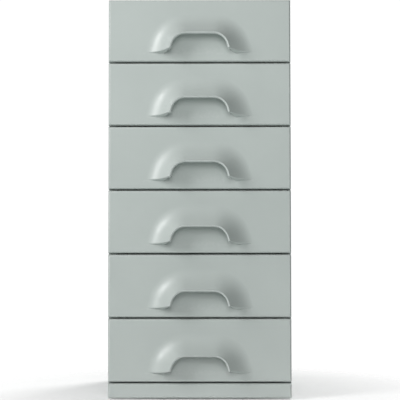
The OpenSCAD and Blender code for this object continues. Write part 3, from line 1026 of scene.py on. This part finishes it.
def hood_mesh(base):
    """The hood of one pull as an open shell, with its foot on the face at the base point."""
    right = hood_stations()
    rows = [(1, row) for row in right] + [(-1, row) for row in reversed(right[:-1])]
    places, outwards, slides, spreads, insets, closings = [], [], [], [], [], []
    for way, (point, angle, edge_angle, slide, inset, closed) in rows:
        places.append(base + Vector((way * point.x, 0, point.y)))
        outward = Vector((way * math.cos(angle), 0, math.sin(angle)))
        outwards.append(outward / math.cos(edge_angle - angle))
        slides.append(Vector((way * slide.x, 0, slide.y)))
        width = FLARE_SIDE + (FLARE_TOP - FLARE_SIDE) * math.sin(edge_angle) ** 2 - LIP_ROUND
        spreads.append(width / (FLARE_SIDE - LIP_ROUND) - 1)
        insets.append(inset)
        closings.append(closed)
    width = FLARE_SIDE - LIP_ROUND
    roof = REACH * (1 - (HOOK - LIP_ROUND) / width) ** 2 - HOOD_THICKNESS
    lip_back = REACH - LIP_ROUND - LIP_FACE
    return grown("hood", hood_tree("hood pull"), places, {
        "Reach": REACH, "Lip round": LIP_ROUND, "Foot round": FOOT_ROUND, "Weld": WELD_REACH,
        "Flare steps": FLARE_STEPS, "Border": (FLARE_SIDE + SUPPORT, 0, 0),
        "Flare end": (FLARE_SIDE, 0, 0), "Flare bend": (LIP_ROUND + width / 2, 0, 0),
        "Lip top": (LIP_ROUND, REACH, 0), "Lip centre": (LIP_ROUND, REACH - LIP_ROUND, 0),
        "Lip inside": (0, REACH - LIP_ROUND, 0), "Lip back": (0, lip_back, 0),
        "Pocket edge": (HOOK, roof, 0), "Pocket base": (HOOK, 0, 0),
        "Pocket closing": (-HOOK / 2, lip_back / 2 - roof, 0), "Material": front_lacquer},
        edges=[(i, i + 1) for i in range(len(places) - 1)],
        attributes={"place": places, "outward": outwards, "slide": slides,
                    "spread": spreads, "inset": insets, "closed": closings})


def open_border(bm):
    """The vertices of the hood's one open border, in order."""
    border = [edge for edge in bm.edges if edge.is_boundary]
    loop = [border[0].verts[0], border[0].verts[1]]
    while True:
        ahead = [edge.other_vert(loop[-1]) for edge in loop[-1].link_edges if edge.is_boundary]
        step = [vert for vert in ahead if vert is not loop[-2]]
        if step[0] is loop[0]:
            return loop
        loop.append(step[0])


front_low, front_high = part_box("front_1")
face_y = front_low.y
whole = bmesh.new()
whole.from_mesh(hood_mesh(Vector((0, face_y, front_low.z + PULL_RISE))))
loop = open_border(whole)


def is_raised(vert):
    return vert.co.y < face_y - FLAT_LIMIT


first_flat = next(i for i in range(len(loop)) if not is_raised(loop[i]) and is_raised(loop[i - 1]))
loop = loop[first_flat:] + loop[:first_flat]
footprint = [vert for vert in loop if not is_raised(vert)]
run = []
for i, vert in enumerate(loop + loop[:1]):
    if is_raised(vert):
        if not run:
            run = [loop[i - 1]]
        run.append(vert)
    elif run:
        whole.faces.new(run + [vert])
        run = []
for vert in footprint:
    vert.co.y = face_y
bottom_low, bottom_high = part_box("box_bottom_1")
groove_low = Vector((bottom_low.x, 0, bottom_low.z))
groove_high = Vector((bottom_high.x, 0, bottom_high.z + GROOVE_SPACE))
groove = [board_ring(whole, groove_low, groove_high, 0, y) for y in (front_high.y, bottom_low.y)]
join_rings(whole, groove[0], groove[1])
whole.faces.new(groove[1])
faced_board(whole, front_low, front_high, [footprint], [groove[0]])
bmesh.ops.recalc_face_normals(whole, faces=whole.faces[:])
for n in drawer_numbers:
    drop = front_low.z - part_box(f"front_{n}")[0].z
    made = whole.copy()
    bmesh.ops.translate(made, verts=made.verts[:], vec=(0, 0, -drop))
    piece = add_piece(f"drawer_front_{n}", made, front_lacquer, f"drawer_{n}",
                      [f"front_{n}", f"pull_{n}"])
    for label in ("place", "outward", "slide", "spread", "inset", "closed", "nearness",
                  "section", "heading"):
        if label in piece.data.attributes:
            piece.data.attributes.remove(piece.data.attributes[label])
whole.free()


# ---- Floor, light and camera ----
# A pale floor that fades out round the chest, and a softbox high on the left. Softboxes in
# front and behind light it without showing in the lacquer, and a soft fill comes mostly
# from the front and from below.

FLOOR_CLEAR = 0.2
FLOOR_END = 0.65
FLOOR_DROP = 0.0002
PAPER_DARK = (0.93, 0.93, 0.93, 1.0)
PAPER_LIGHT = (0.95, 0.95, 0.95, 1.0)
PAPER_GLOW = 0.1
BACKDROP_STRENGTH = 1.05
FILL_COLOUR = (0.93, 1.0, 0.98, 1.0)
FILL_FROM = (-0.1, -0.995, 0.0)
FILL_FLATTENING = 0.35
FRONT_FILL = 0.28
FRONT_FOCUS = 4.0
EVEN_FILL = 0.05
UPWARD_FILL = 0.85
CAMERA_PLACE = (0.0096, -2.8799, 0.3277)
CAMERA_ANGLES = (92.267, 0.047, 0.19)
CAMERA_LENS = 110.67
SENSOR_WIDTH = 36.0

disc = bmesh.new()
bmesh.ops.create_circle(disc, cap_ends=True, segments=96, radius=FLOOR_END)
floor_mesh = bpy.data.meshes.new("floor")
disc.to_mesh(floor_mesh)
disc.free()
floor_mesh.transform(Matrix.Translation((0, 0, -FLOOR_DROP)))
floor = in_scene("floor", floor_mesh)
floor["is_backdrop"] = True

paper, tree, shader = new_material("floor_paper")
place = object_place(tree)
tree.links.new(mixed(tree, noise(tree, place, 30.0, 4.0), PAPER_DARK, PAPER_LIGHT),
               shader.inputs["Base Color"])
shader.inputs["Roughness"].default_value = 0.9
shader.inputs["Emission Color"].default_value = (1.0, 1.0, 1.0, 1.0)
shader.inputs["Emission Strength"].default_value = PAPER_GLOW
distance = add_node(tree, "ShaderNodeVectorMath", {0: place}, operation="LENGTH").outputs["Value"]
fade = ranged(tree, distance, FLOOR_CLEAR, FLOOR_END, 0.0, 1.0)
see_through = add_node(tree, "ShaderNodeBsdfTransparent")
blend = add_node(tree, "ShaderNodeMixShader", {
    0: fade, 1: shader.outputs["BSDF"], 2: see_through.outputs["BSDF"]})
tree.links.new(blend.outputs[0], tree.nodes["Material Output"].inputs["Surface"])
floor_mesh.materials.append(paper)

world = bpy.data.worlds.new("studio")
bpy.context.scene.world = world
world.use_nodes = True
tree = world.node_tree
tree.nodes.clear()
heading = add_node(tree, "ShaderNodeTexCoord").outputs["Generated"]
level = add_node(tree, "ShaderNodeVectorMath", {0: heading, 1: (1, 1, FILL_FLATTENING)},
                 operation="MULTIPLY").outputs["Vector"]
level = add_node(tree, "ShaderNodeVectorMath", {0: level}, operation="NORMALIZE").outputs["Vector"]
ahead = add_node(tree, "ShaderNodeVectorMath", {0: level, 1: FILL_FROM}, operation="DOT_PRODUCT")
lobe = math_of(tree, "MAXIMUM", ahead.outputs["Value"], 0.0)
lobe = math_of(tree, "POWER", lobe, FRONT_FOCUS)
upright = add_node(tree, "ShaderNodeSeparateXYZ", {0: heading}).outputs["Z"]
from_below = math_of(tree, "MAXIMUM", product(tree, upright, -UPWARD_FILL), 0.0)
strength = total(tree, total(tree, product(tree, lobe, FRONT_FILL), EVEN_FILL), from_below)
fill = add_node(tree, "ShaderNodeBackground", {"Color": FILL_COLOUR, "Strength": strength})
backdrop = add_node(tree, "ShaderNodeBackground", {
    "Color": (1, 1, 1, 1), "Strength": BACKDROP_STRENGTH})
is_seen = add_node(tree, "ShaderNodeLightPath").outputs["Is Camera Ray"]
blend = add_node(tree, "ShaderNodeMixShader", {
    0: is_seen, 1: fill.outputs[0], 2: backdrop.outputs[0]})
add_node(tree, "ShaderNodeOutputWorld", {"Surface": blend.outputs[0]})


def softbox(name, place, target, width, height, power, in_reflections):
    data = bpy.data.lights.new(name, "AREA")
    data.shape = "RECTANGLE"
    data.size = width
    data.size_y = height
    data.energy = power
    light = in_scene(name, data)
    light.location = place
    light.visible_glossy = in_reflections
    light.rotation_euler = (Vector(target) - Vector(place)).to_track_quat("-Z", "Y").to_euler()


softbox("key_softbox", place=(-2.4, -1.8, 1.9), target=(0, -0.1, 0.5),
        width=1.2, height=2.2, power=72.0, in_reflections=True)
softbox("front_softbox", place=(0.1, -3.1, 1.3), target=(0, -0.1, 0.5),
        width=1.2, height=1.3, power=29.0, in_reflections=False)
softbox("rear_softbox", place=(1.6, 2.6, 2.2), target=(0, 0.1, 0.45),
        width=1.4, height=1.4, power=105.0, in_reflections=False)

camera_data = bpy.data.cameras.new("camera")
camera_data.lens = CAMERA_LENS
camera_data.sensor_width = SENSOR_WIDTH
camera = in_scene("camera", camera_data)
camera.location = CAMERA_PLACE
camera.rotation_euler = [math.radians(angle) for angle in CAMERA_ANGLES]
bpy.context.scene.camera = camera
bpy.context.scene.view_settings.view_transform = "Standard"

low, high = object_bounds()
